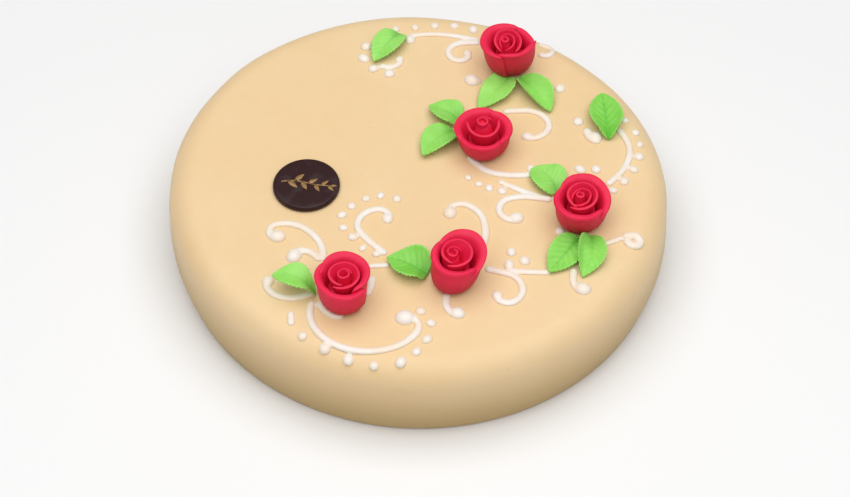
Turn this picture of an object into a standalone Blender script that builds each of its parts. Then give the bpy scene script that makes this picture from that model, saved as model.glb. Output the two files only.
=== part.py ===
"""Birthday cake: a low round cake under marzipan, with piped icing, roses, leaves and a chocolate disc.

Metres, +Z up. The origin is on the table under the middle of the cake, and the front is at -Y.
The tables give places on the cake's top in millimetres, x to the right and y to the back, and angles in
degrees, from +X towards the back.
"""
import random
from collections import namedtuple
from math import atan2, ceil, cos, hypot, pi, radians, sin, sqrt

import bmesh
import bpy
from mathutils import Vector

MM = 0.001
GAP = 0.3 * MM

# The cake under its cover
CAKE_HEIGHT = 49 * MM
BASE_RADIUS = 127.3 * MM
WIDEST_RADIUS = 130 * MM
WIDEST_HEIGHT = 17 * MM
SHOULDER_RADIUS = 129 * MM
SHOULDER_ROUND = 14 * MM
FOOT_ROUND = 3 * MM
OUTLINE_WAVES = ((2, 0.014, -0.0105), (3, 0.0026, 0.0042))
CAKE_SIDES = 64
SHOULDER_STEPS = 4

# How far a rounded corner's middle lies in from the sharp corner, as a share of its radius
CORNER_CUT = 0.3

# Piped icing: a line is flatter than it is wide, and its lower edge is sunk into the cover
ICING_FULLNESS = 1.12
ICING_SPREAD = 0.35 * MM
LINE_STEP = 4.2 * MM
LINE_ARC_STEPS = 4
LINE_END_SHARE = 0.55
LINE_HEIGHT_SHARE = 0.36
LINE_SINK = 0.35 * MM
BULB_HEIGHT_SHARE = 0.42
BULB_INWARD_SHARE = 0.3
BULB_SIDES = 12
BLOB_SIDES = 10
DOT_SIDES = 8
DROP_RINGS = 4
DOT_HEIGHT_SHARE = 0.75
DOT_SINK = 0.15

Scroll = namedtuple("Scroll", "x y heading length bends width bulb", defaults=(3.0, 0))
SCROLLS = (
    Scroll(-47.7, -57, 79, 53, (40, 30, 45, 160), bulb=4.2),
    Scroll(-49, -57, 112, 18, (30, 35, 65), bulb=4.4),
    Scroll(-57.5, -80.3, -152, 26, (-35, -35, -65), bulb=3.4),
    Scroll(-51.3, -82, -111, 90, (45, 35, 25, 25, 35, 125), bulb=4.9),
    Scroll(-50, -84.5, -62, 12, (10, 30), width=4),
    Scroll(-21, -72, -95, 8, (-35,), width=3.2),
    Scroll(-22.5, -60.4, 2, 6, (0,), width=2.4),
    Scroll(-15.5, -52.7, 136, 51, (0, -15, -65, -50, -100), bulb=3.3),
    Scroll(-20.6, -54.5, 88, 4, (0,), width=4.4),
    Scroll(27.5, -57, 68, 53, (10, 25, 50, 120), bulb=3.9),
    Scroll(57, -13.9, 175, 32, (20, 50, 90), bulb=3.9),
    Scroll(28.5, 10.5, -70, 34, (30, 40, 30), width=3.6),
    Scroll(42, -3.4, -33, 14, (12,), width=2.6),
    Scroll(37, -62.6, -18, 42, (0, -60, -70, -100), bulb=3),
    Scroll(44, -63.2, -5, 17, (5,), width=2.6),
    Scroll(14.4, -80.5, -100, 12, (35, 45), bulb=3.9),
    Scroll(78.5, -69, -107, 9, (30, 40), bulb=4.3),
    Scroll(97, -43.8, 24, 29, (5, -20, -50, -105, -90), width=4.2),
    Scroll(101.5, -3.2, 43, 34, (15, 20, 30)),
    Scroll(51, 46.5, 10, 42, (-15, -55, -70, -60), bulb=3.2),
    Scroll(90, 32.5, -105, 6, (30, 40), bulb=4.3),
    Scroll(67, 97, 15, 21, (-65, -90, -105), width=2.8),
    Scroll(-1.5, 104.2, 16, 36, (-24, -10), width=2.5),
    Scroll(-19.5, 80.3, -20, 15, (30, 75), bulb=2.9),
    Scroll(34.5, 98, 176, 40, (5, 40, 70, 75, 90), bulb=2.6),
    Scroll(-61.7, -89.8, -83, 7, (0,), width=4.4),
    Scroll(34, 68.3, 145, 4, (5,), width=3.4, bulb=4),
)
BLOBS = ((77.3, 62.9, 3.3), (86, 38.5, 3.1), (-4.4, 100.4, 3.3), (72.6, -37.6, 2.6))
Dots = namedtuple("Dots", "x y heading length bends count radius", defaults=(2.1,))
DOT_ROWS = (
    Dots(-10.5, -16, 148, 59, (55, 25, 85, -10), 8),
    Dots(-55.5, -103, -35, 52, (10, 40), 5, 2.3),
    Dots(0, -112.8, 46, 28, (30, 70), 4, 2),
    Dots(26.5, -1.3, -45, 20, (35,), 4, 1.9),
    Dots(47.5, -51, 202, 20, (117, 117), 3, 2.2),
    Dots(85, 4.5, 0, 8.5, (0,), 2, 2.3),
    Dots(111, 39.3, -49, 56, (-40, -30, -20), 7, 2),
    Dots(-12.4, 108.8, 7, 44, (0, -30), 5, 1.8),
    Dots(-28.6, 95.2, -118, 29, (65, 45), 4, 2.3),
)
DOT_UNEVENNESS = 0.14
DOT_SEED = 7

# Roses: each petal is a sheet that stands round a core, and an outer petal's lip rolls outwards
PETAL_THICKNESS = 1.5 * MM
PETAL_END_SHARE = 0.5
PETAL_END_LENGTH = 0.17
PETAL_ROOT = 3 * MM
FOOT_SHARE = 0.5
FOOT_LIFT_SHARE = 0.035
WAIST_SHARE = 0.8
WAIST_HEIGHT_SHARE = 0.3
BODY_SHARE = 0.92
BODY_DROP = 2.4 * MM
RIM_INSET = 1.3 * MM
LIP_INSET = 0.35 * MM
OUTER_COLUMN = 30
OUTER_ROWS = 4

# Inner petals are thinner and stand on the floor of the cup
INNER_THICKNESS_SHARE = 0.8
INNER_ROOT_SHARE = 0.4
INNER_INSET = 0.3 * MM
INNER_SINK = 1 * MM
INNER_COLUMN = 46
INNER_ROWS = 2

# The core's foot, rim and bud, as shares of the rose's radius, and how deep the cup and the bud's tip lie
CORE_SIDES = 10
CORE_FOOT_SHARE = 0.42
CORE_RIM_SHARE = 0.88
CORE_INSET = 1 * MM
CUP_DEPTH = 7 * MM
CUP_DIP = 0.5 * MM
BUD_FOOT_SHARE = 0.35
BUD_TIP_SHARE = 0.12
BUD_DEPTH = 3 * MM

Petal = namedtuple("Petal", "start sweep radius0 radius1 swell height0 height1 crown lip foot",
                   defaults=(0, 0, 0.85))
Rose = namedtuple("Rose", "x y lean_x lean_y bud_x outer inner")
ROSES = (
    Rose(51.2, 79, -2, -0.3, -1.6, (
        Petal(60, 192, 12.2, 14.6, 2.2, 21, 21, 0.3, 0.5),
        Petal(236, 128, 13.8, 15.8, -1.8, 21, 21.3, 0.5, 0.8),
        Petal(350, 80, 14.6, 11.6, 0, 21, 21, 0, 0.5),
    ), (
        Petal(300, 300, 7.4, 7.4, 0.2, 18.5, 18.8, 4),
        Petal(250, 340, 4.7, 4.1, 0, 17.5, 18, 4.5, 0, 1),
        Petal(60, 400, 2.8, 1.4, 0, 21.5, 22.3, 0, 0, 1.2),
    )),
    Rose(35.3, 19.2, -1, -0.5, 0.3, (
        Petal(62, 152, 14.4, 14.8, 1.2, 17.2, 15.8, 0, 0.6),
        Petal(203, 120, 15, 13.2, 1.1, 15.7, 15.7, 0, 1),
        Petal(312, 124, 13.8, 13.6, 2.1, 15.7, 17.2, 0, 0.7),
    ), (
        Petal(172, 205, 8.6, 8.6, 0, 20.5, 20.5, -1.5),
        Petal(20, 430, 4.2, 2.1, 0, 21.4, 22.2, 0, 0, 1.5),
    )),
    Rose(83, -30.3, 0, 0, -0.5, (
        Petal(282, 238, 13.4, 12.4, 2.6, 11, 19.5, 4, 0.5),
        Petal(142, 183, 13, 13.2, 2.2, 19.3, 18.5, 0, 1),
    ), (
        Petal(225, 300, 8.6, 7.6, 0, 18.3, 18.3, 2.8),
        Petal(215, 330, 5.3, 4.8, 0, 16.3, 17, 3.6, 0, 1),
        Petal(90, 400, 2.8, 1.2, 0, 20.2, 20.8, 0, 0, 1.2),
    )),
    Rose(17.7, -70, 3.1, 2.3, -2.7, (
        Petal(265, 252, 13, 11.6, 1.9, 12, 21.5, 5, 0.5),
        Petal(138, 177, 12.6, 12.4, 1.9, 21.5, 20, 0, 1),
    ), (
        Petal(240, 290, 8.8, 7.6, 0, 20.5, 20.5, 1.2),
        Petal(10, 440, 4.1, 1.9, 0, 21, 21, 0, 0, 1.15),
    )),
    Rose(-36.9, -82.4, 0.6, 1.1, 1, (
        Petal(300, 236, 12, 11.4, 2.6, 20.3, 21.3, 0.3, 0.5),
        Petal(138, 192, 13, 15.4, -0.2, 21, 18.8, 0.3, 0.8),
    ), (
        Petal(235, 320, 8.4, 7.8, 0, 20.5, 20.8, 0.3),
        Petal(0, 440, 3.8, 2.6, 0, 21, 21, 0, 0, 1.05),
    )),
)

# Leaves: thin folded sheets that rest on the cover by their lowest edge. Bend is how far the middle lies off
# the line from base to tip, skew moves the widest place to the base where it is under 1, foot and point are how
# full the two ends are (less is fuller), and curl is how far the left and right edges roll up
LEAF_THICKNESS = 1.2 * MM
LEAF_COLUMNS = 6
LEAF_ROWS = 6
LEAF_STEM = 0.02
LEAF_TIP = 0.03
PINCH_FADE = 1.5
PINCH_NARROWING = 0.12
CURL_START = 0.5
CURL_RISE = 4
FOLD_START = 0.25
FOLD_RISE = 5
ARCH_SKEW = 0.8

Leaf = namedtuple(
    "Leaf", "tip_x tip_y base_x base_y width arch tip_lift fold cup tilt bend skew foot point curl",
    defaults=((0, 0),))
LEAVES = (
    Leaf(-24.3, 81.3, -10.4, 104.4, 17.2, 1.5, 1.5, 2.5, 1.5, 0.5, -0.2, 0.7, 0.4, 0.85),
    Leaf(32.9, 46.3, 50.2, 68.6, 17.5, 1, 1.5, 3, 1, 0.5, 0.6, 0.75, 0.6, 0.8),
    Leaf(71.3, 44.4, 57.5, 67.3, 17, 0, 1, 3.5, 3, 0.5, 1.6, 0.9, 0.6, 0.8, (0, 4)),
    Leaf(99.7, 57, 101.3, 24.8, 19, 1, 1.5, 6, 1.5, 0, 0, 0.88, 0.8, 0.62),
    Leaf(6.1, 47.1, 22.5, 38.4, 20, 1, 2, 3, 1.5, 2, -1, 0.7, 0.45, 0.8),
    Leaf(2.6, 11.6, 19.5, 30.8, 18, 1, 2, 3, 1.5, 1, -1.8, 0.7, 0.5, 0.8),
    Leaf(59.9, 3.6, 72.6, -12.2, 20, 1.5, 1, 2, 1, 0, -2.3, 0.8, 0.5, 0.65),
    Leaf(65.9, -65.5, 81.5, -43, 15.5, 0, 1, 3, 1.5, -1, -1.6, 0.75, 0.9, 0.8),
    Leaf(82.6, -68, 89.6, -41.5, 13.6, 0.5, 0.5, 5, 2.5, -0.5, 2.6, 0.9, 0.9, 0.8, (0, 3)),
    Leaf(-15.1, -56.7, 5.4, -66, 22.5, 0, 1.5, 6, 2, 0.5, -1.4, 0.75, 0.5, 0.9),
    Leaf(-71.4, -72.9, -49.9, -79, 15.5, 5, 8, 4, 0.5, 0, -1.8, 0.9, 0.9, 0.8),
)

# Chocolate disc
DISC_X = -57.5
DISC_Y = -7.6
DISC_RADIUS = 17.4 * MM
DISC_THICKNESS = 3 * MM
DISC_ROUND = 1.6 * MM
DISC_FOOT_ROUND = 0.5 * MM
DISC_SIDES = 32

# Finish: base colour in linear RGB and roughness
FINISHES = {
    "marzipan": ((0.80, 0.575, 0.325), 0.50),
    "rose_marzipan": ((0.78, 0.015, 0.07), 0.50),
    "leaf_marzipan": ((0.20, 0.60, 0.07), 0.50),
    "chocolate": ((0.042, 0.017, 0.017), 0.35),
}


def mix(a, b, share):
    """The value that lies the given share of the way from a to b."""
    return a + (b - a) * share


def material(name):
    """A plain material with the finish of that name."""
    colour, roughness = FINISHES[name]
    made = bpy.data.materials.new(name)
    made.use_nodes = True
    shader = made.node_tree.nodes["Principled BSDF"]
    shader.inputs["Base Color"].default_value = (*colour, 1)
    shader.inputs["Roughness"].default_value = roughness
    return made


def new_object(name, bm, finish=None, collection=None):
    """An object made from a bmesh, in the scene or in a collection of its own."""
    bmesh.ops.recalc_face_normals(bm, faces=bm.faces)
    mesh = bpy.data.meshes.new(name)
    bm.to_mesh(mesh)
    bm.free()
    mesh.shade_smooth()
    mesh.set_sharp_from_angle(angle=radians(40))
    made = bpy.data.objects.new(name, mesh)
    (collection or bpy.context.scene.collection).objects.link(made)
    if finish:
        mesh.materials.append(finish)
    return made


def outline(angle):
    """How far the cake is out of round at an angle, as a share of its radius."""
    return 1 + sum(c * cos(n * angle) + s * sin(n * angle) for n, c, s in OUTLINE_WAVES)


def top_height(x, y):
    """Height of the cover over a point: flat, then falling away round the shoulder."""
    radius = hypot(x, y) / outline(atan2(y, x))
    past = radius - (SHOULDER_RADIUS - SHOULDER_ROUND)
    if past <= 0:
        return CAKE_HEIGHT
    return CAKE_HEIGHT - SHOULDER_ROUND + sqrt(max(SHOULDER_ROUND**2 - past**2, 0))


def turned(profile, sides):
    """A closed solid of revolution from a profile of radius and height, bottom to top."""
    bm = bmesh.new()
    points = [bm.verts.new((radius, 0, height)) for radius, height in profile]
    edges = [bm.edges.new(pair) for pair in zip(points, points[1:])]
    bmesh.ops.spin(bm, geom=points + edges, cent=(0, 0, 0), axis=(0, 0, 1), angle=2 * pi,
                   steps=sides, use_merge=True)
    bmesh.ops.holes_fill(bm, edges=bm.edges, sides=0)
    return bm


def cake_profile():
    """Radius and height from the foot, up the bulging side and round the shoulder."""
    points = [
        (BASE_RADIUS - FOOT_ROUND, 0),
        (BASE_RADIUS - CORNER_CUT * FOOT_ROUND, CORNER_CUT * FOOT_ROUND),
        (BASE_RADIUS, FOOT_ROUND),
        (WIDEST_RADIUS, WIDEST_HEIGHT),
    ]
    for step in range(SHOULDER_STEPS + 1):
        turn = pi / 2 * step / SHOULDER_STEPS
        points.append((SHOULDER_RADIUS - SHOULDER_ROUND * (1 - cos(turn)),
                       CAKE_HEIGHT - SHOULDER_ROUND * (1 - sin(turn))))
    return points


def cake_body():
    """The bare cake, turned and then pushed a little out of round."""
    bm = turned(cake_profile(), CAKE_SIDES)
    for vertex in bm.verts:
        share = outline(atan2(vertex.co.y, vertex.co.x))
        vertex.co.x *= share
        vertex.co.y *= share
    return bm


def arc_chain(start, heading, length, bends, step):
    """Points along equal arcs that follow on smoothly, each turning by its bend, with their headings."""
    place = Vector(start)
    angle = radians(heading)
    path = [(place.copy(), angle)]
    arc = length / len(bends)
    count = max(1, ceil(arc / step))
    for bend in bends:
        half_turn = radians(bend) / count / 2
        for _ in range(count):
            angle += half_turn
            place += Vector((cos(angle), sin(angle))) * (arc / count)
            angle += half_turn
            path.append((place.copy(), angle))
    return path


def piped_line(scroll):
    """A half-round line of icing with blunt ends, swept along a scroll's path."""
    start = (scroll.x * MM, scroll.y * MM)
    path = arc_chain(start, scroll.heading, scroll.length * MM, scroll.bends, LINE_STEP)
    half = ICING_FULLNESS * scroll.width * MM / 2 + ICING_SPREAD
    height = 2 * half * LINE_HEIGHT_SHARE
    turns = [pi * step / LINE_ARC_STEPS for step in range(1, LINE_ARC_STEPS)]
    arc = [(half * cos(turn), height * sin(turn)) for turn in turns]
    last = len(path) - 1
    bm = bmesh.new()
    cap = None
    for index, (place, angle) in enumerate(path):
        size = LINE_END_SHARE if index in (0, last) else 1
        across = Vector((sin(angle), -cos(angle))) * size
        ground = top_height(*place)
        ring = [(*(place + across * side), ground + size * up) for side, up in arc]
        ring.insert(0, (*(place + across * half), ground - LINE_SINK))
        ring.append((*(place - across * half), ground - LINE_SINK))
        if cap is None:
            cap = bm.faces.new([bm.verts.new(point) for point in ring])
            continue
        cap = bmesh.ops.extrude_discrete_faces(bm, faces=[cap])["faces"][0]
        for vertex, point in zip(cap.verts, ring):
            vertex.co = point
    bmesh.ops.holes_fill(bm, edges=bm.edges, sides=0)
    return bm, path[-1]


def drop(x, y, radius, height, sides, stretch=1.0, turn=0.0):
    """A flattened ball of icing, its widest level just under the cover."""
    bm = bmesh.new()
    bmesh.ops.create_uvsphere(bm, u_segments=sides, v_segments=DROP_RINGS, radius=radius)
    for vertex in bm.verts:
        flat = Vector((vertex.co.x * stretch, vertex.co.y / stretch))
        vertex.co.x = flat.x * cos(turn) - flat.y * sin(turn) + x
        vertex.co.y = flat.x * sin(turn) + flat.y * cos(turn) + y
        vertex.co.z = vertex.co.z / radius * height + top_height(x, y) - DOT_SINK * height
    return bm


def pipe_icing(collection):
    """Every line, bulb, blob and dot of icing, as its own closed object in the collection."""
    draw = random.Random(DOT_SEED)
    for scroll in SCROLLS:
        line, (end, angle) = piped_line(scroll)
        new_object("line", line, collection=collection)
        if scroll.bulb:
            radius = scroll.bulb * MM
            inward = radius * BULB_INWARD_SHARE * (1 if sum(scroll.bends) >= 0 else -1)
            middle = end + Vector((-sin(angle), cos(angle))) * inward
            ball = drop(middle.x, middle.y, radius, 2 * radius * BULB_HEIGHT_SHARE, BULB_SIDES)
            new_object("bulb", ball, collection=collection)
    for x, y, radius in BLOBS:
        ball = drop(x * MM, y * MM, radius * MM, 2 * radius * MM * BULB_HEIGHT_SHARE, BLOB_SIDES)
        new_object("blob", ball, collection=collection)
    for row in DOT_ROWS:
        length = row.length * MM
        path = arc_chain((row.x * MM, row.y * MM), row.heading, length, row.bends, 1 * MM)
        for index in range(row.count):
            place = path[round(index * (len(path) - 1) / (row.count - 1))][0]
            uneven = draw.uniform(1 - DOT_UNEVENNESS, 1 + DOT_UNEVENNESS)
            radius = (ICING_FULLNESS * row.radius * MM + ICING_SPREAD) * uneven
            stretch = draw.uniform(1, 1 + DOT_UNEVENNESS)
            turn = draw.uniform(0, pi)
            height = radius * DOT_HEIGHT_SHARE
            ball = drop(place.x, place.y, radius, height, DOT_SIDES, stretch, turn)
            new_object("dot", ball, collection=collection)


def fuse(body, collection):
    """Joins every object of the collection to the body, and removes the collection."""
    union = body.modifiers.new("fuse", "BOOLEAN")
    union.operation = "UNION"
    union.solver = "EXACT"
    union.operand_type = "COLLECTION"
    union.collection = collection
    bpy.context.view_layer.update()
    joined = bpy.data.meshes.new_from_object(body.evaluated_get(bpy.context.evaluated_depsgraph_get()))
    body.modifiers.remove(union)
    plain = body.data
    body.data = joined
    joined.name = body.name
    bpy.data.meshes.remove(plain)
    for piece in list(collection.objects):
        bpy.data.objects.remove(piece)
    bpy.data.collections.remove(collection)


def new_collection(name):
    """A collection linked to the scene, for pieces that are about to be joined."""
    made = bpy.data.collections.new(name)
    bpy.context.scene.collection.children.link(made)
    return made


def sheet(columns, rows, place):
    """A closed sheet: place gives the point for a share along, a share across and a face, 0 or 1."""
    bm = bmesh.new()
    bmesh.ops.create_grid(bm, x_segments=columns, y_segments=rows, size=0.5)
    bmesh.ops.translate(bm, verts=bm.verts, vec=(0.5, 0.5, 0))
    bmesh.ops.triangulate(bm, faces=bm.faces)
    raised = bmesh.ops.extrude_face_region(bm, geom=bm.faces[:])["geom"]
    raised = [item for item in raised if isinstance(item, bmesh.types.BMVert)]
    bmesh.ops.translate(bm, verts=raised, vec=(0, 0, 1))
    for vertex in bm.verts:
        vertex.co = place(*vertex.co)
    return bm


def polyline_point(path, share):
    """The point a share of the way along a path, counted by its corners, and the direction there."""
    spot = min(share, 1) * (len(path) - 1)
    index = min(int(spot), len(path) - 2)
    before, after = Vector(path[max(index - 1, 0)]), Vector(path[min(index + 2, len(path) - 1)])
    a, b = Vector(path[index]), Vector(path[index + 1])
    part = spot - index
    if part < 1e-6:
        direction = b - before if index else b - a
    elif part > 1 - 1e-6:
        direction = after - a if index + 2 < len(path) else b - a
    else:
        direction = b - a
    return a.lerp(b, part), direction.normalized()


def petal_radius(petal, along):
    """How far a petal's edge stands from the rose's axis, a share of the way along it."""
    return (mix(petal.radius0, petal.radius1, along) + petal.swell * sin(pi * along)) * MM


def petal_path(petal, radius, height, floor):
    """A petal's section, radius and height from its foot to its edge, which an outer petal rolls outwards."""
    if not petal.lip:
        return [(petal.foot * radius, floor - INNER_SINK), (radius - INNER_INSET, height)]
    top = height - PETAL_THICKNESS / 2
    return [
        (FOOT_SHARE * radius, FOOT_LIFT_SHARE * height),
        (WAIST_SHARE * radius, WAIST_HEIGHT_SHARE * height),
        (BODY_SHARE * radius - PETAL_THICKNESS / 2, height - BODY_DROP),
        (radius - RIM_INSET, top),
        (radius - LIP_INSET, top - petal.lip * MM),
    ]


def petal_solid(petal, rose_height, offset):
    """One petal, standing about its own axis; its inner face is thickened at the root."""
    floor = rose_height - CUP_DEPTH
    outer = bool(petal.lip)
    thickness = PETAL_THICKNESS * (1 if outer else INNER_THICKNESS_SHARE)
    root = PETAL_ROOT * (1 if outer else INNER_ROOT_SHARE)

    def place(along, up, face):
        height = (mix(petal.height0, petal.height1, along) + petal.crown * sin(pi * along)) * MM
        path = petal_path(petal, petal_radius(petal, along), height, floor)
        spot, direction = polyline_point(path, up)
        half = thickness / 2 * mix(PETAL_END_SHARE, 1, min(1, min(along, 1 - along) / PETAL_END_LENGTH))
        out = Vector((direction.y, -direction.x))
        if face > 0.5:
            spot = spot + out * half
        else:
            spot = spot - out * half
            spot.x -= root * (1 - up)
        angle = radians(petal.start + petal.sweep * along)
        return spot.x * cos(angle) + offset, spot.x * sin(angle), spot.y

    columns = max(3, round(petal.sweep / (OUTER_COLUMN if outer else INNER_COLUMN)))
    return sheet(columns, OUTER_ROWS if outer else INNER_ROWS, place)


def innermost_radius(petals, angle):
    """The radius of the innermost petal at an angle in degrees."""
    shares = [(petal, (angle - petal.start) % 360 / petal.sweep) for petal in petals]
    return min(petal_radius(petal, share) for petal, share in shares if share <= 1)


def rose_core(spec, height, radius):
    """The solid middle of a rose: a cup that follows its petals, with a cone in it that carries the bud."""
    floor = height - CUP_DEPTH
    core = turned([
        (CORE_FOOT_SHARE * radius, 0),
        (WAIST_SHARE * radius - CORE_INSET, WAIST_HEIGHT_SHARE * height),
        (CORE_RIM_SHARE * radius - CORE_INSET, floor),
        (BUD_FOOT_SHARE * radius, floor - CUP_DIP),
        (BUD_TIP_SHARE * radius, height - BUD_DEPTH),
    ], CORE_SIDES)
    for vertex in core.verts:
        if vertex.co.xy.length > (BUD_FOOT_SHARE + CORE_FOOT_SHARE) / 2 * radius:
            angle = atan2(vertex.co.y, vertex.co.x) * 180 / pi
            vertex.co.xy *= innermost_radius(spec.outer, angle) / radius
        else:
            vertex.co.x += spec.bud_x * MM
    return core


def rose(name, spec, finish):
    """One rose: its petals fused to its core, then leant over its foot."""
    height = max(petal.height1 for petal in spec.outer) * MM
    radius = sum(petal.radius0 + petal.radius1 for petal in spec.outer) / 2 / len(spec.outer) * MM
    body = new_object(name, rose_core(spec, height, radius), finish)
    petals = new_collection("petals")
    for index, petal in enumerate(spec.outer + spec.inner):
        offset = max(0, index + 1 - len(spec.outer)) / len(spec.inner) * spec.bud_x * MM
        new_object("petal", petal_solid(petal, height, offset), collection=petals)
    fuse(body, petals)
    for vertex in body.data.vertices:
        up = vertex.co.z / height
        vertex.co.x += spec.lean_x * MM * up
        vertex.co.y += spec.lean_y * MM * up
    body.location = (spec.x * MM, spec.y * MM, CAKE_HEIGHT + GAP)
    return body


def leaf_half_width(along, spec):
    """Half of a leaf's width: a narrow stem, a full middle and a point."""
    full = max(sin(pi * mix(LEAF_STEM, 1, along) ** spec.skew), 0)
    return spec.width / 2 * MM * max(full ** mix(spec.foot, spec.point, along), LEAF_TIP)


def leaf(name, spec, finish):
    """One leaf, from its pinched base to its raised tip, lying on the cover."""
    base = Vector((spec.base_x, spec.base_y)) * MM
    tip = Vector((spec.tip_x, spec.tip_y)) * MM
    along_axis = (tip - base).normalized()
    left = Vector((-along_axis.y, along_axis.x))

    def place(along, over, face):
        side = 2 * over - 1
        bump = sin(pi * along)
        pinch = (1 - along) ** PINCH_FADE
        spread = side * leaf_half_width(along, spec) * (1 - PINCH_NARROWING * pinch)
        height = spec.arch * sin(pi * along ** ARCH_SKEW) + spec.tip_lift * along
        height += spec.fold * pinch * abs(side) * min(1, FOLD_RISE * along + FOLD_START)
        height += (spec.cup * side * side + spec.tilt * side) * bump
        height += spec.curl[side < 0] * CURL_RISE * max(0, abs(side) - CURL_START) ** 2 * bump
        spot = base.lerp(tip, along) + left * (spec.bend * MM * bump + spread)
        return spot.x, spot.y, height * MM + face * LEAF_THICKNESS

    bm = sheet(LEAF_COLUMNS, LEAF_ROWS, place)
    low = min(vertex.co.z for vertex in bm.verts)
    bmesh.ops.translate(bm, verts=bm.verts, vec=(0, 0, CAKE_HEIGHT + GAP - low))
    return new_object(name, bm, finish)


def chocolate_disc(finish):
    """The flat round plaque with a rounded rim."""
    profile = [
        (DISC_RADIUS - DISC_FOOT_ROUND, 0),
        (DISC_RADIUS, DISC_FOOT_ROUND),
        (DISC_RADIUS, DISC_THICKNESS - DISC_ROUND),
        (DISC_RADIUS - CORNER_CUT * DISC_ROUND, DISC_THICKNESS - CORNER_CUT * DISC_ROUND),
        (DISC_RADIUS - DISC_ROUND, DISC_THICKNESS),
    ]
    made = new_object("chocolate_disc", turned(profile, DISC_SIDES), finish)
    made.location = (DISC_X * MM, DISC_Y * MM, CAKE_HEIGHT + GAP)
    return made


def main():
    for old in list(bpy.data.objects):
        bpy.data.objects.remove(old)
    finishes = {name: material(name) for name in FINISHES}

    cake = new_object("cake", cake_body(), finishes["marzipan"])
    middle = bpy.data.objects.new("middle_of_the_cake", None)
    bpy.context.scene.collection.objects.link(middle)
    for axis in range(2):
        values = [vertex.co[axis] for vertex in cake.data.vertices]
        middle.location[axis] = -(min(values) + max(values)) / 2
    icing = new_collection("icing")
    pipe_icing(icing)
    fuse(cake, icing)

    nodes = [cake, chocolate_disc(finishes["chocolate"])]
    for number, spec in enumerate(ROSES, 1):
        nodes.append(rose(f"rose_{number}", spec, finishes["rose_marzipan"]))
    for number, spec in enumerate(LEAVES, 1):
        nodes.append(leaf(f"leaf_{number}", spec, finishes["leaf_marzipan"]))
    for node in nodes:
        node.parent = middle


main()
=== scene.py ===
"""Dresses a packed birthday cake: cover, piped icing, modelled roses and leaves, and chocolate disc.

Metres, +Z up. The tables give places on the cake's top in millimetres, x to the right and y to the back, and
angles in degrees, from +X towards the back, as the part's source does. A constant without MM is a share or a
count unless its comment says otherwise.
"""
import random
from collections import namedtuple
from math import atan2, ceil, cos, degrees, exp, hypot, pi, radians, sin, sqrt

import bmesh
import bpy
from bpy.props import FloatProperty, FloatVectorProperty, IntProperty, PointerProperty
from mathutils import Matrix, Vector, noise


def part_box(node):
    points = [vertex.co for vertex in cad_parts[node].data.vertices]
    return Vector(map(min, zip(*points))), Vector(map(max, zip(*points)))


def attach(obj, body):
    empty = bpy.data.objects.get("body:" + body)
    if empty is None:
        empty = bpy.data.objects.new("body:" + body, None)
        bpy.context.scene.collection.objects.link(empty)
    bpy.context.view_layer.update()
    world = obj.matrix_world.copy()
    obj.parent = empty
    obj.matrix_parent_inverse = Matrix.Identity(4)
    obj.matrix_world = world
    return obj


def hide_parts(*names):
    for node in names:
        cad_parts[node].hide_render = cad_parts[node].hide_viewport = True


bl_info = {
    "name": "Birthday cake",
    "version": (1, 0, 0),
    "blender": (4, 5, 0),
    "location": "View3D > Sidebar > Cake",
    "description": "Dresses a packed birthday cake with its cover, icing, roses, leaves and chocolate disc",
    "category": "Object",
}

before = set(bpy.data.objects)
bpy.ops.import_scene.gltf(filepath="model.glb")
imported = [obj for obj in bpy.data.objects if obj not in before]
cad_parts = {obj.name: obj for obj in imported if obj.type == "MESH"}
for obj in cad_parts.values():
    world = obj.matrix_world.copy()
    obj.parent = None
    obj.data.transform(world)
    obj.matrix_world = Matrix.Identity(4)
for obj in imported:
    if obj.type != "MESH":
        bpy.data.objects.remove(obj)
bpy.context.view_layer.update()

MM = 0.001

# The cake under its cover
CAKE_HEIGHT = 49 * MM
BASE_RADIUS = 127.3 * MM
WIDEST_RADIUS = 130 * MM
WIDEST_HEIGHT = 17 * MM
SHOULDER_RADIUS = 129 * MM
SHOULDER_ROUND = 14 * MM
FOOT_ROUND = 3 * MM
OUTLINE_WAVES = ((2, 0.014, -0.0105), (3, 0.0026, 0.0042))
DENT_SIZE = 32 * MM
TOP_DENT = 0.12 * MM
TOP_DENT_SIZE = 45 * MM
SIDE_START = 0.9
SIDE_BLEND = 0.08
PIECE_GAP = 0.3 * MM

# Piped icing
LINE_STEP = 0.9 * MM
LINE_ARC_STEPS = 8
LINE_SINK = 0.5 * MM
LINE_END = 0.25 * MM
LINE_UNEVENNESS = 0.10
LINE_WAVE = 9 * MM
BULB_INWARD = 0.3
BULB_STRETCH = 1.06
DROP_SEGMENTS = 24
DROP_RINGS = 14
DROP_SINK = 0.15
NIB_HEIGHT = 0.2 * MM
NIB_SPREAD = 0.06
DOT_STEP = 1 * MM
DOT_SEED = 7
DOT_UNEVENNESS = 0.14

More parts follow.
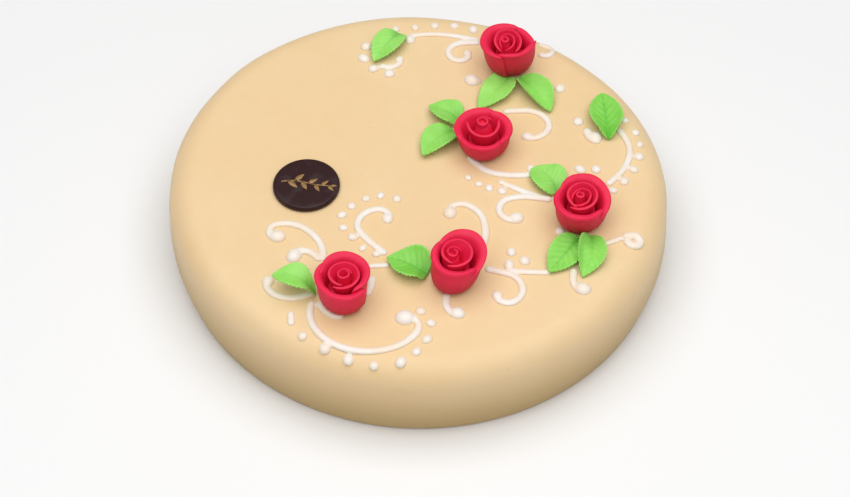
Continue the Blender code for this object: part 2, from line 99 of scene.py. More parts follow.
Scroll = namedtuple("Scroll", "x y heading length bends width bulb", defaults=(3.0, 0))
SCROLLS = (
    Scroll(-47.7, -57, 79, 53, (40, 30, 45, 160), bulb=4.2),
    Scroll(-49, -57, 112, 18, (30, 35, 65), bulb=4.4),
    Scroll(-50.5, -76.5, -150, 31, (-12, -28, -32, -48), bulb=3.4),
    Scroll(-51.3, -82, -111, 90, (45, 35, 25, 25, 35, 125), bulb=4.9),
    Scroll(-48.6, -82.4, -60, 16.5, (8, 26, 45), width=4),
    Scroll(-22.4, -66.5, -88, 13, (-30,), width=3.2),
    Scroll(-25, -60.3, 4, 11.5, (0,), width=2.2),
    Scroll(-15.5, -52.7, 136, 51, (0, -15, -65, -50, -100), bulb=3.3),
    Scroll(-20.6, -54.5, 88, 4, (0,), width=4.4),
    Scroll(31, -55, 70, 52, (10, 25, 50, 105), bulb=3.9),
    Scroll(69.6, -16.5, 168, 45, (5, 25, 85, 90), bulb=3.9),
    Scroll(27, 14.5, -62, 39, (14, 33, 15, 8), width=3.2),
    Scroll(42, -3.4, -33, 30, (14,), width=2.6),
    Scroll(34, -61.7, -16, 45, (0, -60, -72, -100), bulb=3),
    Scroll(44, -63.2, -5, 23, (5,), width=2.6),
    Scroll(15.2, -76.8, -102, 16, (8, 32, 42), bulb=3.9),
    Scroll(78.8, -61.5, -103, 16, (5, 25, 55), bulb=4.3),
    Scroll(94.5, -46, 20, 11, (8,), width=2.2),
    Scroll(104, -42.2, 32, 24, (-30, -110, -110, -105), width=3.8),
    Scroll(98.5, -6.4, 43, 45, (10, 20, 30, 28), width=2.8),
    Scroll(46, 45.6, 10, 47, (-10, -50, -75, -65), bulb=3.2),
    Scroll(90.4, 33.8, -98, 13, (40, 55), width=4.4),
    Scroll(67, 97, 15, 21, (-65, -90, -105), width=2.8),
    Scroll(-5.2, 103, 16, 40, (-24, -10), width=2.5),
    Scroll(-21.3, 80.3, -20, 15, (30, 75), bulb=2.9),
    Scroll(34.5, 98, 176, 40, (5, 40, 70, 75, 90), bulb=2.6),
    Scroll(-62, -88.3, -86, 9, (0,), width=2.8),
    Scroll(34.5, 67.6, 145, 5, (5,), width=3.6, bulb=4.4),
)
BLOBS = ((77.3, 62.9, 3.3), (86, 38.5, 3.1), (94.2, 27, 4.1), (-4.4, 100.4, 3.3), (72.6, -37.6, 2.6),
         (59.4, 5.2, 2.6))
Dots = namedtuple("Dots", "x y heading length bends count radius", defaults=(2.1,))
DOT_ROWS = (
    Dots(-10.5, -16, 148, 59, (55, 25, 85, -10), 8),
    Dots(-55.5, -103, -35, 52, (10, 40), 5, 2.3),
    Dots(0, -112.8, 46, 28, (30, 70), 4, 2),
    Dots(26.5, -1.3, -45, 20, (35,), 4, 1.9),
    Dots(47.5, -51, 202, 20, (117, 117), 3, 2.2),
    Dots(85, 4.5, 0, 8.5, (0,), 2, 2.3),
    Dots(111, 39.3, -49, 56, (-40, -30, -20), 7, 2),
    Dots(-12.4, 108.8, 7, 44, (0, -30), 5, 2.2),
    Dots(-28.6, 95.2, -118, 29, (65, 45), 4, 2.5),
)

# Roses: foot is how wide an inner petal stands at its root, as a share of its radius at the edge
CUP_DEPTH = 9 * MM
BUD_RADIUS = 6
CORE_SIDES = 40
CORE_RIM = 0.63
OUTER_COLUMN = 7
INNER_COLUMN = 11
OUTER_ROWS = 22
INNER_ROWS = 9
SEAM_SLANT = 0.12
PETAL_WAVE = 0.9
LIP_WAVE = 0.7
PETAL_SINK = 1 * MM
PETAL_WALL = 0.9
BUD_WALL = 0.65
ROOT_WALLS = 2.6
END_FLARE = 0.3
END_FLARE_REACH = 0.2
END_WALL = 0.3
END_WALL_REACH = 0.07

# Levels up an outer petal's two faces: across and up are shares of its radius and height, under is
# millimetres below the edge, flare a share of the flare and droop a share of the lip's droop
BODY = 0.92
MOUTH = 0.82
MOUTH_DEPTH = 0.15 * MM
Level = namedtuple("Level", "across up under flare droop", defaults=(1, 0, 0, 0))
OUTSIDE_LEVELS = (
    Level(0.55, 0.02),
    Level(0.76, 0.16),
    Level(0.87, 0.40),
    Level(0.91, 0.68),
    Level(BODY, under=2.4),
    Level(BODY, under=1.1, flare=0.75, droop=1),
    Level(BODY, under=0.6, flare=1, droop=1),
)
INSIDE_LEVELS = (
    Level(0.42, 0.03),
    Level(0.51, 0.30),
    Level(0.57, 0.56),
    Level(0.66, under=3.8),
    Level(0.76, under=1.1),
    Level(BODY, flare=0.9, droop=1),
)

Petal = namedtuple("Petal", "start sweep radius0 radius1 swell height0 height1 crown lip foot",
                   defaults=(0, 0, 0.78))
Rose = namedtuple("Rose", "x y lean_x lean_y bud_x outer inner hollow", defaults=(1.4,))
ROSES = (
    Rose(51.2, 79, -2, -0.3, -1.6, (
        Petal(60, 192, 12.7, 14.6, 2, 21, 21, 0.3, 0.5),
        Petal(236, 128, 13, 15.8, -1.6, 21, 21.3, 0.5, 0.8),
        Petal(350, 80, 14.9, 12.4, -1.5, 21, 21, 0, 0.5),
    ), (
        Petal(300, 300, 7.4, 7.4, 0.2, 18.5, 18.8, 4),
        Petal(250, 340, 4.7, 4.1, 0, 17.5, 18, 4.5, 0, 1),
        Petal(60, 400, 2.8, 1.4, 0, 21.5, 22.3, 0, 0, 1.2),
    )),
    Rose(35.3, 19.2, -1, -0.5, 0.3, (
        Petal(62, 152, 14.4, 14.8, 1.2, 17.2, 15.8, 0, 0.6),
        Petal(203, 120, 15, 13.2, 1.1, 15.7, 15.7, 0, 1),
        Petal(312, 124, 13.8, 13.6, 2.1, 15.7, 17.2, 0, 0.7),
    ), (
        Petal(172, 205, 8.6, 8.6, 0, 20.5, 20.5, -1.5),
        Petal(20, 430, 4.2, 2.1, 0, 21.4, 22.2, 0, 0, 1.5),
    )),
    Rose(83, -30.3, 0, 0, -0.5, (
        Petal(282, 238, 12.4, 12.4, 3.1, 10.5, 19.5, 4.2, 0.5),
        Petal(142, 183, 13, 13.9, 2, 19.3, 18.5, 0, 1),
    ), (
        Petal(225, 385, 8.9, 7.1, 0, 18.3, 18.3, 2.8),
        Petal(215, 330, 5.3, 4.8, 0, 16.3, 17, 3.6, 0, 1),
        Petal(90, 400, 2.8, 1.2, 0, 20.2, 20.8, 0, 0, 1.2),
    )),
    Rose(17.7, -70, 3.1, 2.3, -2.7, (
        Petal(265, 252, 11.8, 11.6, 2.5, 11.5, 21.5, 5.2, 0.5),
        Petal(138, 177, 12.6, 13.1, 1.7, 21.5, 20, 0, 1),
    ), (
        Petal(240, 375, 9, 7, 0, 20.3, 20.5, 1.2),
        Petal(10, 440, 4.1, 1.9, 0, 21, 21, 0, 0, 1.15),
    ), 3),
    Rose(-36.9, -82.4, 0.6, 1.1, 1, (
        Petal(300, 236, 12, 11.4, 2.6, 20.3, 21.3, 0.3, 0.5),
        Petal(138, 192, 13, 15.4, -0.2, 21, 18.8, 0.3, 0.8),
    ), (
        Petal(235, 395, 8.9, 7, 0, 20.2, 20.8, 0.3),
        Petal(0, 440, 3.8, 2.6, 0, 21, 21, 0, 0, 1.05),
    ), 5),
)

# Leaves: bend is how far the middle lies off the line from base to tip, pale how pale the leaf is from 0 to
# 1, skew moves the widest place to the base where it is under 1, foot and point are how full the two ends
# are (less is fuller), veins is how strong the veins are beside the setting, and curl is how far the left
# and right edges roll up
LEAF_COLUMNS = 72
LEAF_ROWS = 18
LEAF_STEM = 0.02
LEAF_TIP = 0.03
LEAF_PINCH = 0.12
LEAF_WAVE = 0.4 * MM
LEAF_WAVE_SIZE = 6 * MM
LEAF_EDGE_THINNING = 0.15
LEAF_EDGE_POWER = 6
# Reach of the painted shade in the hollow at a leaf's base, as shares of its length and half-width
HOLLOW_SHADE_LENGTH = 0.24
HOLLOW_SHADE_WIDTH = 0.5
TOOTH_LENGTH = 2 * MM
VEIN_WIDTH = 0.07
VEIN_TINT = 0.75
RIBS = 7
RIB_SLANT = 0.28
RIB_WIDTH = 0.016
RIB_DEPTH = 0.7

Leaf = namedtuple(
    "Leaf",
    "tip_x tip_y base_x base_y width arch tip_lift fold cup tilt bend pale skew foot point veins curl",
    defaults=(0.75, 0.55, 0.85, 0.6, (0, 0)))
LEAVES = (
    Leaf(-24.3, 81.3, -10.4, 104.4, 17.2, 1.5, 1.5, 2.5, 1.5, 0.5, -0.2, 1, 0.7, 0.4),
    Leaf(32.9, 46.3, 50.4, 71.2, 17.5, 1, 1.5, 3, 1, 0.5, 0.6, 1, 0.75, 0.6, 0.8, 0.3),
    Leaf(71.3, 44.4, 55.6, 70.2, 17, 0, 1, 3.5, 3, 0.5, 1.6, 0.7, 0.9, 0.6, 0.8, 0.4, (0, 4)),
    Leaf(99.7, 57, 101.3, 24.8, 19, 1, 1.5, 6, 1.5, 0, 0, 0.15, 0.88, 0.8, 0.62, 1.4),
    Leaf(6.1, 47.1, 22.5, 38.4, 20, 1, 2, 3, 1.5, 2, -1, 0.6, 0.7, 0.45, 0.8, 0.5),
    Leaf(2.6, 11.6, 19.5, 30.8, 18, 1, 2, 3, 1.5, 1, -1.8, 0.7, 0.7, 0.5, 0.8, 0.4),
    Leaf(59.9, 3.6, 72.6, -12.2, 20, 1.5, 1, 2, 1, 0, -2.3, 0.8, 0.8, 0.5, 0.65, 0.6),
    Leaf(65.9, -65.5, 82.3, -43, 18, 0, 1, 3, 1.5, -1, 0, 0.5, 0.75, 0.6, 0.8, 1.2),
    Leaf(82.6, -68, 88.2, -41.5, 15.4, 0.5, 0.5, 5, 2.5, -0.5, 2.4, 0.8, 0.85, 0.6, 0.8, 0.6, (0, 3)),
    Leaf(-15.1, -56.7, 5.4, -66, 22.5, 0, 1.5, 6, 2, 0.5, -1.4, 0, 0.75, 0.5, 0.9, 1.4),
    Leaf(-71.4, -72.9, -49.9, -79, 15.5, 5, 8, 4, 0.5, 0, -1.8, 0.7, 0.9, 0.9, 0.8, 0.3),
)

# Chocolate disc
DISC_X = -57.5
DISC_Y = -7.6
DISC_ROUND = 1.6 * MM
DISC_FOOT_ROUND = 0.5 * MM
DISC_SIDES = 128
DISC_WAVE = 0.06 * MM
DISC_WAVE_SIZE = 9 * MM
SPRIG_STEM = Scroll(DISC_X - 13, DISC_Y + 1, 14, 26, (-34, 20))
SPRIG_STEP = 0.6 * MM
SPRIG_LEAVES = 7
SPRIG_ANGLE = 48
SPRIG_RELIEF = 0.12 * MM
SPRIG_SINK = 0.02 * MM

# The camera's place in millimetres from the middle of the cake's base, and its angle off straight down
CAMERA_PLACE = (4.0, -634.74, 772.77)
CAMERA_TILT = 39
SENSOR_WIDTH = 36
FLOOR_HALF = 5

# Patterns in the materials: noise with about so many waves a metre, cut off between low and high
Patches = namedtuple("Patches", "scale detail low high")
BLOTCHES = Patches(16, 3, 0.35, 0.68)
FINE_BLOTCHES = Patches(140, 4, 0.4, 0.7)
SUGARED = Patches(34, 5, 0.58, 0.8)
SUGAR = Patches(900, 2, 0.35, 0.65)
THIN_ICING = Patches(70, 3, 0.35, 0.65)
PRESSED = Patches(120, 4, 0.35, 0.7)
MOTTLE = Patches(110, 4, 0.3, 0.75)
SMEARS = Patches(130, 4, 0.45, 0.8)
WORN_GOLD = Patches(800, 3, 0.35, 0.6)

disc_low, disc_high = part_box("chocolate_disc")
MIDDLE = (disc_low + disc_high) / 2 - Vector((DISC_X, DISC_Y, 0)) * MM
MIDDLE.z = 0


class Value:
    """A socket's value in a material. Arithmetic on it adds the Math nodes."""

    def __init__(self, finish, socket):
        self.finish = finish
        self.socket = socket

    def math(self, operation, *values):
        inputs = dict(enumerate((self, *values)))
        return self.finish.node("ShaderNodeMath", {"operation": operation}, inputs)

    def __add__(self, other):
        return self.math("ADD", other)

    def __sub__(self, other):
        return self.math("SUBTRACT", other)

    def __mul__(self, other):
        return self.math("MULTIPLY", other)

    def __rsub__(self, other):
        return (self * -1).math("ADD", other)


class Finish:
    """A node material. node() adds any node to it and gives one of the node's outputs."""

    def __init__(self, name):
        self.material = bpy.data.materials.new(name)
        self.material.use_nodes = True
        self.tree = self.material.node_tree
        self.shader = self.tree.nodes["Principled BSDF"]
        self.place = self.node("ShaderNodeTexCoord", output="Object")

    def set(self, socket, value):
        """Gives a socket a number or colour, or links a value to it."""
        if isinstance(value, Value):
            self.tree.links.new(value.socket, socket)
        elif isinstance(value, tuple) and len(value) == 3 and socket.type == "RGBA":
            socket.default_value = (*value, 1)
        else:
            socket.default_value = value

    def node(self, kind, settings=None, inputs=None, output=0):
        made = self.tree.nodes.new(kind)
        for name, value in (settings or {}).items():
            setattr(made, name, value)
        for key, value in (inputs or {}).items():
            if isinstance(key, int):
                socket = made.inputs[key]
            else:
                socket = next(s for s in made.inputs if key in (s.identifier, s.name))
            self.set(socket, value)
        if isinstance(output, int):
            return Value(self, made.outputs[output])
        return Value(self, next(s for s in made.outputs if output in (s.identifier, s.name)))

    def noise(self, scale, detail):
        """Even noise with about that many waves a metre."""
        inputs = {"Vector": self.place, "Scale": scale, "Detail": detail}
        return self.node("ShaderNodeTexNoise", inputs=inputs, output="Fac")

    def band(self, value, low, high):
        """0 below low, 1 above high and smooth between them."""
        inputs = {"Value": value, "From Min": low, "From Max": high}
        return self.node("ShaderNodeMapRange", {"interpolation_type": "SMOOTHSTEP"}, inputs)

    def patches(self, pattern):
        """Soft patches of a pattern, from 0 to 1."""
        return self.band(self.noise(pattern.scale, pattern.detail), pattern.low, pattern.high)

    def around(self, value, spread, scale, detail):
        """A value that noise moves by up to half the spread either way."""
        return (self.noise(scale, detail) - 0.5) * spread + value

    def attribute(self, name):
        """A piece's own number at each place."""
        return self.node("ShaderNodeAttribute", {"attribute_name": name}, output="Fac")

    def foot(self, low, high):
        """1 below a height, 0 above another and smooth between them."""
        height = self.node("ShaderNodeSeparateXYZ", inputs={"Vector": self.place}, output="Z")
        return 1 - self.band(height, low, high)

    def blend(self, share, colour, other):
        """A colour that goes from one to the other."""
        inputs = {"Factor_Float": share, "A_Color": colour, "B_Color": other}
        return self.node("ShaderNodeMix", {"data_type": "RGBA"}, inputs, "Result_Color")

    def bump(self, height, distance, under=None):
        """A bump that raises the surface by height times distance."""
        inputs = {"Height": height, "Distance": distance, "Strength": 1.0}
        if under:
            inputs["Normal"] = under
        return self.node("ShaderNodeBump", inputs=inputs, output="Normal")

    def shade(self, **values):
        """Sets the main shader's sockets, with underscores for spaces."""
        for name, value in values.items():
            self.set(self.shader.inputs[name.replace("_", " ")], value)
        return self.material


def mix(a, b, share):
    """The value that lies the given share of the way from a to b."""
    return a + (b - a) * share


def tinted(colour, *shares):
    """A colour with each channel at a share of its strength."""
    return tuple(channel * share for channel, share in zip(colour, shares))


def unevenness(x, y, z, size, seed=0):
    """Smooth noise from -1 to 1 at a place, with waves of about that size."""
    return noise.noise(Vector((x / size + 31.7 * seed, y / size + 17.3 * seed, z / size)))


def outline(angle):
    """How far the cake is out of round at an angle, as a share of its radius."""
    return 1 + sum(c * cos(n * angle) + s * sin(n * angle) for n, c, s in OUTLINE_WAVES)


def top_height(x, y):
    """Height of the cover over a point: flat, then falling away round the shoulder."""
    radius = hypot(x, y) / outline(atan2(y, x))
    past = radius - (SHOULDER_RADIUS - SHOULDER_ROUND)
    if past <= 0:
        return CAKE_HEIGHT
    return CAKE_HEIGHT - SHOULDER_ROUND + sqrt(max(SHOULDER_ROUND**2 - past**2, 0))


def arc_chain(start, heading, length, bends, step):
    """Points along equal arcs that follow on smoothly, each turning by its bend, with their headings."""
    place = Vector(start)
    angle = radians(heading)
    path = [(place.copy(), angle)]
    arc = length / len(bends)
    count = max(1, ceil(arc / step))
    for bend in bends:
        half_turn = radians(bend) / count / 2
        for _ in range(count):
            angle += half_turn
            place += Vector((cos(angle), sin(angle))) * (arc / count)
            angle += half_turn
            path.append((place.copy(), angle))
    return path


def smooth_path(points, share):
    """The point a share of the way along a smooth curve through the points."""
    spot = min(max(share, 0), 1) * (len(points) - 1)
    index = min(int(spot), len(points) - 2)
    t = spot - index
    a, b = points[index], points[index + 1]
    before = points[index - 1] if index else 2 * a - b
    after = points[index + 2] if index + 2 < len(points) else 2 * b - a
    slope_a, slope_b = (b - before) / 2, (after - a) / 2
    point = (2 * t**3 - 3 * t**2 + 1) * a + (t**3 - 2 * t**2 + t) * slope_a
    return point + ((3 * t**2 - 2 * t**3) * b + (t**3 - t**2) * slope_b)


def turned(profile, sides):
    """A closed solid of revolution from a profile of radius and height that starts and ends on the axis."""
    bm = bmesh.new()
    points = [bm.verts.new((radius, 0, height)) for radius, height in profile]
    edges = [bm.edges.new(pair) for pair in zip(points, points[1:])]
    bmesh.ops.spin(bm, geom=points + edges, cent=(0, 0, 0), axis=(0, 0, 1), angle=2 * pi,
                   steps=sides, use_merge=True)
    bmesh.ops.remove_doubles(bm, verts=bm.verts, dist=0.001 * MM)
    return bm


def sheet(bm, columns, rows, place):
    """Adds a closed sheet: place gives the point for a share along, a share across and a face, 0 or 1."""
    first = len(bm.faces)
    made = bmesh.ops.create_grid(bm, x_segments=columns, y_segments=rows, size=0.5, calc_uvs=True)["verts"]
    bmesh.ops.translate(bm, verts=made, vec=(0.5, 0.5, 0))
    bm.faces.ensure_lookup_table()
    raised = bmesh.ops.extrude_face_region(bm, geom=bm.faces[first:])["geom"]
    raised = [item for item in raised if isinstance(item, bmesh.types.BMVert)]
    bmesh.ops.translate(bm, verts=raised, vec=(0, 0, 1))
    for vertex in made + raised:
        vertex.co = place(*vertex.co)


def unwrapped():
    """An empty bmesh that keeps the sheets' own UV map."""
    bm = bmesh.new()
    bm.loops.layers.uv.new("UVMap")
    return bm


def finished_piece(name, bm, material, slot, *nodes):
    """A piece made from a bmesh whose places are from the middle of the cake, riding on the cake."""
    bmesh.ops.translate(bm, verts=bm.verts, vec=MIDDLE)
    bmesh.ops.recalc_face_normals(bm, faces=bm.faces)
    mesh = bpy.data.meshes.new(name)
    bm.to_mesh(mesh)
    bm.free()
    mesh.shade_smooth()
    mesh.materials.append(material)
    piece = bpy.data.objects.new(name, mesh)
    bpy.context.scene.collection.objects.link(piece)
    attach(piece, "root")
    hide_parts(*nodes)
    return piece


def subdivided(piece):
    """Rounds a piece with a subdivision surface."""
    rounding = piece.modifiers.new("rounding", "SUBSURF")
    rounding.levels = 1
    rounding.render_levels = 1


class CakeCoverSettings(bpy.types.PropertyGroup):
    colour: FloatVectorProperty(
        name="Marzipan", description="Colour of the marzipan cover", subtype="COLOR",
        default=(0.83, 0.62, 0.358), min=0, max=1)
    roughness: FloatProperty(
        name="Roughness", description="How matt the marzipan is", subtype="FACTOR",
        default=0.5, min=0, max=1)
    dents: FloatProperty(
        name="Dents", description="How far the hand-laid cover is out of true", unit="LENGTH",
        default=0.6 * MM, min=0, max=3 * MM, precision=5)
    sides: IntProperty(
        name="Sides", description="Faces round the cake", default=256, min=32, max=512)


class PipedIcingSettings(bpy.types.PropertyGroup):
    colour: FloatVectorProperty(
        name="Icing", description="Colour of the piped icing", subtype="COLOR",
        default=(0.87, 0.815, 0.75), min=0, max=1)
    fullness: FloatProperty(
        name="Fullness", description="Width of the lines and dots, as a share of the planned width",
        default=1.12, min=0.5, max=2)
    spread: FloatProperty(
        name="Spread", description="How far every line and dot has spread on each side", unit="LENGTH",
        default=0.35 * MM, min=0, max=1 * MM, precision=5)
    line_height: FloatProperty(
        name="Line height", description="Height of a piped line, as a share of its width",
        subtype="FACTOR", default=0.36, min=0.2, max=1)
    bulb_height: FloatProperty(
        name="Bulb height", description="Height of a bulb, as a share of its width",
        subtype="FACTOR", default=0.38, min=0.2, max=1)
    dot_height: FloatProperty(
        name="Dot height", description="Height of a dot, as a share of its radius",
        subtype="FACTOR", default=0.75, min=0.2, max=1.5)
    voxel: FloatProperty(
        name="Detail", description="Size of the smallest detail where strokes run together", unit="LENGTH",
        default=0.45 * MM, min=0.2 * MM, max=2 * MM, precision=5)


class RoseSettings(bpy.types.PropertyGroup):
    colour: FloatVectorProperty(
        name="Rose marzipan", description="Colour of the roses", subtype="COLOR",
        default=(0.78, 0.013, 0.068), min=0, max=1)
    thickness: FloatProperty(
        name="Petal thickness", description="Thickness of a petal at its root", unit="LENGTH",
        default=1.5 * MM, min=0.5 * MM, max=3 * MM, precision=5)
    waviness: FloatProperty(
        name="Waviness", description="How uneven the lips are", unit="LENGTH",
        default=0.6 * MM, min=0, max=2 * MM, precision=5)


class LeafSettings(bpy.types.PropertyGroup):
    colour: FloatVectorProperty(
        name="Leaf marzipan", description="Colour of the leaves", subtype="COLOR",
        default=(0.20, 0.62, 0.06), min=0, max=1)
    thickness: FloatProperty(
        name="Leaf thickness", description="Thickness of a leaf", unit="LENGTH",
        default=1.5 * MM, min=0.5 * MM, max=3 * MM, precision=5)
    vein: FloatProperty(
        name="Vein depth", description="Depth of a leaf's pressed veins", unit="LENGTH",
        default=0.4 * MM, min=0, max=1 * MM, precision=5)
    tooth: FloatProperty(
        name="Tooth depth", description="Depth of the teeth along a leaf's edge", unit="LENGTH",
        default=1 * MM, min=0, max=2 * MM, precision=5)


class DiscSettings(bpy.types.PropertyGroup):
    colour: FloatVectorProperty(
        name="Chocolate", description="Colour of the chocolate disc", subtype="COLOR",
        default=(0.029, 0.008, 0.009), min=0, max=1)
    gold: FloatVectorProperty(
        name="Gold", description="Colour of the sprig on the disc", subtype="COLOR",
        default=(0.42, 0.24, 0.09), min=0, max=1)
    radius: FloatProperty(
        name="Radius", description="Radius of the disc", unit="LENGTH",
        default=(disc_high.x - disc_low.x) / 2, min=5 * MM, max=40 * MM, precision=5)
    thickness: FloatProperty(
        name="Thickness", description="Thickness of the disc", unit="LENGTH",
        default=disc_high.z - disc_low.z, min=1 * MM, max=8 * MM, precision=5)


class CakeStageSettings(bpy.types.PropertyGroup):
    floor: FloatVectorProperty(
        name="Floor", description="Colour of the floor", subtype="COLOR",
        default=(0.88, 0.88, 0.88), min=0, max=1)
    overhead: FloatProperty(
        name="Overhead light", description="Power of the large light above", unit="POWER",
        default=21, min=0, max=500)
    front: FloatProperty(
        name="Front light", description="Power of the light in front", unit="POWER",
        default=1.2, min=0, max=500)
    surroundings: FloatProperty(
        name="Surroundings", description="Brightness of the pale surroundings", default=0.30, min=0, max=5)
    lens: FloatProperty(
        name="Lens", description="Focal length of the camera, in millimetres", default=78.08, min=10, max=300)


def cover_profile():
    """Radius and height from the middle of the base, up the bulging side and in over the top."""
    base_steps, side_steps, round_steps, top_steps = 6, 14, 16, 40
    foot = BASE_RADIUS - FOOT_ROUND
    points = [(foot * step / base_steps, 0) for step in range(base_steps)]
    for step in range(round_steps // 4 + 1):
        turn = pi / 2 * step / (round_steps // 4)
        points.append((foot + FOOT_ROUND * sin(turn), FOOT_ROUND * (1 - cos(turn))))
    shoulder_start = CAKE_HEIGHT - SHOULDER_ROUND
    side = [Vector((BASE_RADIUS, FOOT_ROUND)), Vector((WIDEST_RADIUS, WIDEST_HEIGHT)),
            Vector((SHOULDER_RADIUS, shoulder_start))]
    for step in range(1, side_steps):
        points.append(tuple(smooth_path(side, step / side_steps)))
    for step in range(round_steps + 1):
        turn = pi / 2 * step / round_steps
        points.append((SHOULDER_RADIUS - SHOULDER_ROUND * (1 - cos(turn)),
                       shoulder_start + SHOULDER_ROUND * sin(turn)))
    rim = SHOULDER_RADIUS - SHOULDER_ROUND
    points += [(rim * (1 - step / top_steps), CAKE_HEIGHT) for step in range(1, top_steps + 1)]
    return points


def marzipan(settings):
    """Smooth cream marzipan: a soft sheen, faint blotches, a little powdered sugar, a few pits, and painted
    shade that darkens the side towards the foot.
    """
    made = Finish("cake_marzipan")
    colour = tuple(settings.colour)
    pale = tuple(mix(channel, 1, 0.10) for channel in colour)
    warm = tinted(colour, 0.98, 0.94, 0.88)
    shaded = tinted(colour, 0.60, 0.545, 0.37)
    crumb = (0.62, 0.42, 0.22)
    skin = made.blend(made.patches(BLOTCHES) * 0.6 + made.patches(FINE_BLOTCHES) * 0.25, warm, colour)
    powder = made.patches(SUGARED) * made.patches(SUGAR)
    skin = made.blend(powder * 0.35, skin, pale)
    cells = {"Vector": made.place, "Scale": 75.0, "Randomness": 1.0}
    pit = 1 - made.band(made.node("ShaderNodeTexVoronoi", {"feature": "F1"}, cells, "Distance"), 0.02, 0.045)
    skin = made.blend(pit * 0.35, skin, crumb)
    # Painted shade: the cover darkens towards its foot, from 43 mm high down to 8 mm.
    skin = made.blend(made.foot(8 * MM, 43 * MM), skin, shaded)
    relief = made.bump(made.noise(60, 2), 0.25 * MM)
    relief = made.bump(made.noise(1500, 3) - pit * 2, 0.03 * MM, relief)
    rough = made.around(settings.roughness, 0.16, 220, 3) + powder * 0.2
    return made.shade(Base_Color=skin, Roughness=rough, Normal=relief, Subsurface_Weight=0.08,
                      Subsurface_Radius=(1.0, 0.6, 0.35), Subsurface_Scale=3 * MM)


def white_icing(settings):
    """Piped icing: off-white and a little glossy, with soft drag marks."""
    made = Finish("piped_icing")
    colour = tuple(settings.colour)
    cover = tuple(bpy.context.scene.cake_cover.colour)
    skin = made.blend(made.patches(THIN_ICING), tinted(colour, 1, 0.92, 0.82), colour)
    skin = made.blend(made.band(made.attribute("rise"), -0.1, 0.8) * 0.75 + 0.25, cover, skin)
    relief = made.bump(made.noise(600, 3), 0.06 * MM)
    rough = made.around(0.38, 0.2, 300, 2)
    return made.shade(Base_Color=skin, Roughness=rough, Normal=relief, Subsurface_Weight=0.15,
                      Subsurface_Radius=(1.0, 0.8, 0.6), Subsurface_Scale=2 * MM)


def rose_marzipan(settings):
    """Red marzipan rolled out by hand: soft sheen, slightly paler where it was pressed thin, and painted
    shade that darkens it towards the cover.
    """
    made = Finish("rose_marzipan")
    colour = tuple(settings.colour)
    pale = (min(1, colour[0] * 1.12), colour[1] * 2.2, colour[2] * 1.3)
    shaded = tinted(colour, 0.62, 0.5, 0.5)
    skin = made.blend(made.patches(PRESSED) * 0.5, colour, pale)
    # Painted shade: each rose darkens over its lowest 17 mm, down to the cover.
    skin = made.blend(made.foot(CAKE_HEIGHT, CAKE_HEIGHT + 17 * MM), skin, shaded)
    relief = made.bump(made.noise(260, 3), 0.15 * MM)
    relief = made.bump(made.noise(1800, 3), 0.03 * MM, relief)
    rough = made.around(0.52, 0.2, 400, 3)
    return made.shade(Base_Color=skin, Roughness=rough, Normal=relief, Specular_IOR_Level=0.3,
                      Subsurface_Weight=0.08, Subsurface_Radius=(1.0, 0.15, 0.15), Subsurface_Scale=2 * MM)


def leaf_marzipan(settings):
    """Light green marzipan, mottled, with deeper green along the pressed veins, painted shade in the hollow
    at the base, and a pale painted highlight along the rim.
    """
    made = Finish("leaf_marzipan")
    colour = tuple(settings.colour)
    deep_vein_and_shade = tinted(colour, 0.38, 0.64, 0.35)
    pale = (mix(colour[0], 0.6, 0.4), mix(colour[1], 0.95, 0.5), mix(colour[2], 0.4, 0.3))
    skin = made.blend(made.patches(MOTTLE) * 0.35 + made.attribute("pale") * 0.65, colour, pale)
    spread = made.node("ShaderNodeUVMap", {"uv_map": "UVMap"}, output="UV")
    over = made.node("ShaderNodeSeparateXYZ", inputs={"Vector": spread}, output="Y")
    # Painted highlight: a pale band along the leaf's left and right edges.
    rim = made.band((over - 0.5).math("ABSOLUTE"), 0.43, 0.48)
    skin = made.blend(rim * 0.6, skin, pale)
    # The vein attribute holds the veins' deeper green plus painted shade in the hollow at the base.
    skin = made.blend(made.attribute("vein") * 0.6, skin, deep_vein_and_shade)
    relief = made.bump(made.noise(900, 3), 0.06 * MM)
    rough = made.around(0.5, 0.2, 300, 3)
    return made.shade(Base_Color=skin, Roughness=rough, Normal=relief, Subsurface_Weight=0.12,
                      Subsurface_Radius=(0.4, 1.0, 0.2), Subsurface_Scale=2 * MM)


def dark_chocolate(settings):
    """Satin dark chocolate with faint smears."""
    made = Finish("dark_chocolate")
    colour = tuple(settings.colour)
    bloom = tuple(mix(channel, 0.4, 0.05) for channel in colour)
    smears = made.patches(SMEARS)
    skin = made.blend(smears, colour, bloom)
    relief = made.bump(made.noise(200, 2), 0.08 * MM)
    rough = smears * 0.15 + made.around(0.36, 0.08, 900, 2)
    return made.shade(Base_Color=skin, Roughness=rough, Normal=relief, Specular_IOR_Level=0.22)


def printed_gold(settings):
    """A thin print of gold powder, a little uneven."""
    made = Finish("printed_gold")
    colour = tuple(settings.gold)
    skin = made.blend(made.patches(WORN_GOLD), tinted(colour, 0.6, 0.6, 0.6), colour)
    return made.shade(Base_Color=skin, Roughness=0.45, Metallic=0.35)


